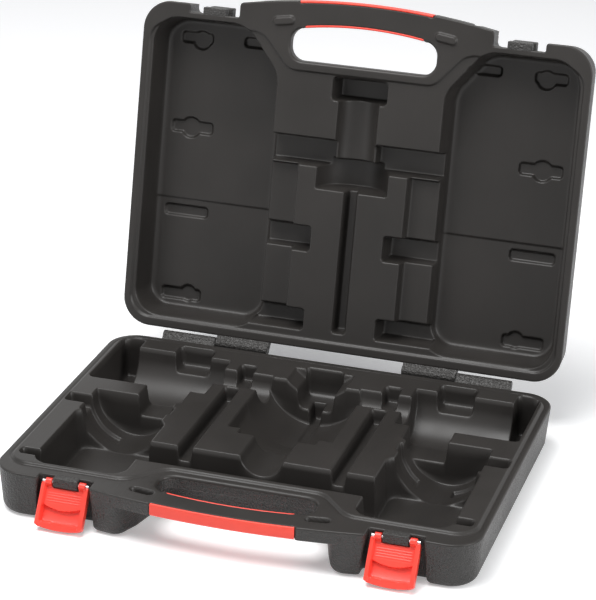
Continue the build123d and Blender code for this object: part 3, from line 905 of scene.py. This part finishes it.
cuts = []
comp = filleted([(86, 322), (86, 60), (122, 15), (219, 15), (219, 322)], [26, 30, 30, 28, 26], 0.0, 1.5)
comp_sdf = np.where(AX < 72, -50.0, line_sdf(comp, 70, 0, AX))
floor_step = 1.2 * np.clip((GV - 203.5) / 1.2, 0, 1)
compartment = walled(comp_sdf, 38.0, 6.0, 6.0)
compartment = np.where(comp_sdf > 0, compartment + np.where(compartment < -30, -floor_step, 0), NO_CUT)
cuts.append(compartment)
for x0, x1, v0, v1, depth, r in (
        (20, 96, 120, 148, 25, 3), (57, 96, 148, 316, 16, 2), (38, 96, 210, 235, 30, 3),
        (38, 96, 295, 316, 30, 3)):
    cuts.append(walled(box_sdf(x0, x1, v0, v1, r, AX, GV), depth, 3.0))
cuts.append(nest(-7, 7, 160, 315, 18, 3, 6.0))
cuts.append(trough(139, 170, 37))
cuts.append(trough(76, 142, 21))
cuts.append(nest(-28, 28, 57, 80, 30, 4))
lid_inner = -2.6 * np.clip((tongue_sdf(0.6) + 0.4) / 0.8, 0, 1)
for cut in cuts:
    lid_inner = np.minimum(lid_inner, cut)
DIMPLE_BARS = ((160, 203, 298, 311), (159, 206, 211, 223), (160, 205, 123, 136), (167, 201, 32, 44),
               (106, 134, 31, 42))
DIMPLE_ROUNDS = ((174, 303, 9.0), (184, 130, 11.0), (179, 40, 10.0))
dimple = np.zeros_like(GX)
for x0, x1, v0, v1 in DIMPLE_BARS:
    dimple = np.maximum(dimple, np.clip(box_sdf(x0, x1, v0, v1, 4.0, AX, GV) / 1.2, 0, 1))
for x, v, r in DIMPLE_ROUNDS:
    dimple = np.maximum(dimple, np.clip((r - np.hypot(AX - x, GV - v)) / 1.2, 0, 1))
lid_inner -= 3.6 * dimple
for s in (1, -1):
    lid_inner = np.maximum(lid_inner, np.where(peg_sdf(s) > 0, 3.0, -NO_CUT))
lid_inner = smoothed(lid_inner, 0.55)

lumps = gather(skins(lid_inner, FINE))
for s in (1, -1):
    lumps.add(*latch_bar(s))
    lumps.add(*soft_block((s * LATCH_X - BAR_HALF, 3.0, -33.6), (s * LATCH_X + BAR_HALF, 14.5, -20.6), 1.2))
    a, b = sorted((s * 70.7, s * 126.1))
    lumps.add(*knuckle(a, b))
verts, groups, where = lumps.done()
lid_shell = mesh_object("lid_moulding", lid_to_row(verts), turned_faces(groups), where,
                        (satin_black, grained_black))
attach(lid_shell, "lid")
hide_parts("lid_shell")

# ---------------------------------------------------------------- grips
# Red sleeves of soft plastic, U-shaped in section, clipped round the bar of each half so that
# only the mating face stays bare.

grip_red = plastic("grip_red_soft", (0.80, 0.050, 0.030), (0.88, 0.075, 0.045), (0.38, 0.48),
                   PEBBLE, 900.0, 0.15, 0.0002)
GRIP_TOP = -0.1          # tips of the two legs
GRIP_R = 3.2             # outer corners of the section


def grip_surface(n=64):
    """The sleeve as a grid: a U-shaped profile of even wall thickness carried along the bar.  At
    each X the outer leg follows the bow and the inner leg the hand hole, and a point between has
    its share of both; the profile runs down the outer leg, along the bottom and up the inner
    leg, then back along its inside, with a half-round over each tip."""
    s = np.linspace(-1, 1, n)
    ends = np.sin(np.linspace(-np.pi / 2, np.pi / 2, 7))
    s = np.unique(np.concatenate([-1 + 0.012 * (1 + ends), s[2:-2], 1 - 0.012 * (1 + ends)]))
    xo, xi = s * GRIP_OUT_X, s * GRIP_IN_X
    vo, vi = bow_v(xo), hole_v(xi)
    span = (vi - vo).mean()
    w, r, bottom, tip_z = GRIP_WALL, GRIP_R, -FLANGE, GRIP_TOP - GRIP_WALL / 2
    corner, tip = np.linspace(0, np.pi / 2, 7), np.linspace(0, np.pi, 7)
    outside = [(0.0, tip_z)] + [(r - r * math.cos(c), bottom + r - r * math.sin(c)) for c in corner]
    outside += [(span - r + r * math.sin(c), bottom + r - r * math.cos(c)) for c in corner]
    outside += [(span, tip_z)]
    tip_in = [(span - w / 2 + w / 2 * math.cos(t), tip_z + w / 2 * math.sin(t)) for t in tip[1:]]
    ri = r - w + 0.4
    inner = [(span - w, bottom + w + ri)]
    inner += [(span - w - ri + ri * math.cos(c), bottom + w + ri - ri * math.sin(c)) for c in corner[1:]]
    inner += [(w + ri - ri * math.sin(c), bottom + w + ri - ri * math.cos(c)) for c in corner]
    inner += [(w, tip_z)]
    tip_out = [(w / 2 + w / 2 * math.cos(t), tip_z + w / 2 * math.sin(t)) for t in tip[1:-1]]
    profile = np.array(outside + tip_in + inner + tip_out)
    profile = profile[np.linalg.norm(profile - np.roll(profile, 1, 0), axis=1) > 1e-4]
    frac = profile[:, 0] / span
    x = xo[:, None] * (1 - frac) + xi[:, None] * frac
    v = vo[:, None] * (1 - frac) + vi[:, None] * frac
    z = np.repeat(profile[None, :, 1], len(s), 0)
    idx = np.arange(x.size).reshape(x.shape)
    nxt = np.roll(idx, -1, 1)
    quads = np.stack([idx[:-1], idx[1:], nxt[1:], nxt[:-1]], -1).reshape(-1, 4)
    return np.stack([x, v, z], -1).reshape(-1, 3), quads, idx


def grip_mesh():
    """Closes the two ends of the sleeve with strips between its outside and its inside."""
    verts, quads, idx = grip_surface()
    stations, around = idx.shape
    strips = []
    for row, first in ((0, True), (stations - 1, False)):
        ring = idx[row]
        outer, inner = ring[:around // 2], ring[::-1][:around - around // 2]
        size = min(len(outer), len(inner))
        a = outer[np.linspace(0, len(outer) - 1, size).round().astype(int)]
        b = inner[np.linspace(0, len(inner) - 1, size).round().astype(int)]
        strip = np.stack([a[:-1], a[1:], b[1:], b[:-1]], 1)
        strips.append(strip if first else strip[:, ::-1])
    return verts, np.concatenate([quads] + strips)


verts, faces = grip_mesh()
for name, body, place_, mirrored in (("grip_base", "base", to_row, False),
                                     ("grip_lid", "lid", lid_to_row, True)):
    f = faces[:, ::-1] if mirrored else faces
    grip = mesh_object(name + "_sleeve", place_(verts), f, None, (grip_red,), 50)
    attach(grip, body)
    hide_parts(name)

# ---------------------------------------------------------------- latches
# Red swing latches of glossy plastic: a tray with two side rails, a ribbed pad, a hollow below
# it and a lip at the free end; two ears hang on a steel pin through the bar.

latch_red = plastic("latch_red_gloss", (0.82, 0.045, 0.028), (0.90, 0.070, 0.045), (0.26, 0.36),
                    DRAWN, 220.0, 0.05, 0.0002)
LATCH_HALF, LATCH_L = 23.0, 44.0
EAR_IN, EAR_OUT, EAR_R = 13.0, 19.5, 3.2
RAIL_TOP = 1.9
PIN_Y, PIN_Z = 5.2 - DEPTH / 2, 41.0
REST = math.radians(32.0)      # the hanging latch stands out this far from the upright


def latch_line(inset=0.0):
    """The latch's outline seen square on: two ears, straight sides and a bowed free end."""
    end_x = np.linspace(-19, 19, 9)
    end = np.stack([end_x, LATCH_L - 2.6 * (end_x / LATCH_HALF) ** 2], 1)
    shoulder, fork = 1.2, 5.2
    side_end = 40.2
    ears = [(-LATCH_HALF, shoulder), (-EAR_OUT, shoulder), (-EAR_OUT, -EAR_R), (-EAR_IN, -EAR_R),
            (-EAR_IN, fork), (EAR_IN, fork), (EAR_IN, -EAR_R), (EAR_OUT, -EAR_R),
            (EAR_OUT, shoulder), (LATCH_HALF, shoulder), (LATCH_HALF, side_end)]
    ear_radii = [1.2, 0.3, 0.6, 0.6, 0.8, 0.8, 0.6, 0.6, 0.3, 1.2, 2.0]
    pts = np.concatenate([ears, end[::-1], [(-LATCH_HALF, side_end)]])
    radii = np.concatenate([ear_radii, np.zeros(len(end)), [2.0]])
    return filleted(pts, radii, inset, 0.7)


def latch_front(x, s):
    """Height of the latch's working face: side rails, a pad with cross ribs that ends in a
    bowed step, a hollow, and a rounded lip across the free end."""
    ax = np.abs(x)

    def ramp(value, width):
        return np.clip(value / width + 0.5, 0, 1)

    rail = ramp(ax - 18.6, 0.8)
    ribs = 0.22 * np.cos(2 * np.pi * (s - 8.0) / 2.4)
    ribs = ribs * ramp(s - 8, 1.0) * ramp(19 - s, 1.0) * ramp(16.5 - ax, 1.5)
    pad_end = 21.5 + 4.0 * (1 - (x / 19.0) ** 2)
    pad = ramp(pad_end - s, 0.7)
    hollow = -5.5 + 1.8 * np.clip((s - 24.0) / 13.0, 0, 1) ** 2
    face = (-1.6 + ribs) * pad + hollow * (1 - pad)
    lip_s = 37.2 - 1.0 * (x / 19.0) ** 2
    lip = ramp(s - lip_s, 1.4)
    face = face * (1 - lip) + (1.4 - 0.22 * (s - lip_s)) * lip
    top = face * (1 - rail) + np.maximum(RAIL_TOP, face) * rail
    ear = np.sqrt(np.clip(EAR_R ** 2 - np.minimum(s, 0) ** 2, 0, None))
    to_ear = np.where(s < 0, ear, EAR_R - (EAR_R - top) * ramp(s - 3.5, 3))
    on_ear = (s < 5.0) & (ax > EAR_IN - 0.5) & (ax < EAR_OUT + 0.3)
    return np.where(on_ear, np.minimum(to_ear, EAR_R), top)


def latch_back(x, s):
    """Height of the latch's smooth outer face, running down to half-round ears."""
    low = -6.2 + 0.10 * (x / LATCH_HALF) ** 2
    ear = -np.sqrt(np.clip(EAR_R ** 2 - np.minimum(s, 0) ** 2, 0, None))
    blend_ = np.clip(s / 5.0, 0, 1)
    blend_ = blend_ * blend_ * (3 - 2 * blend_)
    return np.where(s < 0, ear, -EAR_R * (1 - blend_) + low * blend_)


def latch_skin(pitch):
    """Closed latch mesh in its own frame: X across, s from pin to free end, t to the case."""
    rims = [latch_line(d) for d in (0.0, 0.15, 0.45, 0.9)]
    bound = rims[0]
    X, S = np.meshgrid(np.arange(-LATCH_HALF, 23.01, pitch), np.arange(-EAR_R, 44.2, pitch))
    lat = np.stack([X.ravel(), S.ravel()], 1)
    lat = lat[apart(lat, rims[0]) > 1.25]
    P = np.concatenate([bound] + rims[1:] + [lat])
    d = apart(P, bound)
    d[:len(bound)] = 0
    drop = edge_drop(np.maximum(d, 0), 0.8)
    top = latch_front(P[:, 0], P[:, 1]) - drop
    low = latch_back(P[:, 0], P[:, 1]) + drop
    top = np.maximum(top, low + 0.05)
    F = triangles(P, [(bound, 1)])
    n = len(P)
    verts = np.concatenate([np.column_stack([P, top]), np.column_stack([P, low])])
    i = np.arange(len(bound))
    j = np.roll(i, -1)
    sides = np.stack([i, i + n, j + n, j], 1)
    return verts, [np.concatenate([F, F[:, ::-1] + n]), sides]


verts, groups = latch_skin(0.6)
c, s_ = math.cos(REST), math.sin(REST)
for name, side in (("latch_left", -1), ("latch_right", 1)):
    # hanging: s points down and out, t outwards and up
    x = verts[:, 0] + side * LATCH_X
    y = PIN_Y - verts[:, 1] * s_ - verts[:, 2] * c
    z = PIN_Z - verts[:, 1] * c + verts[:, 2] * s_
    placed = np.column_stack([x, y, z]) / 1000
    latch = mesh_object(name + "_body", placed, groups, None, (latch_red,), 40)
    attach(latch, name)
    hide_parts(name)

# ---------------------------------------------------------------- pins
# Bright drawn steel wire, cut and lightly chamfered: two in the hinge, two through the latches.

pin_steel = plastic("pin_steel", (0.52, 0.52, 0.53), (0.62, 0.62, 0.63), (0.22, 0.34),
                    DRAWN, 300.0, 0.1, 0.0001)
skin = next(n for n in pin_steel.node_tree.nodes if n.type == "BSDF_PRINCIPLED")
skin.inputs["Metallic"].default_value = 1.0
for name in ("hinge_pin_left", "hinge_pin_right", "latch_pin_left", "latch_pin_right"):
    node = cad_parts[name]
    node.data.materials.clear()
    node.data.materials.append(pin_steel)
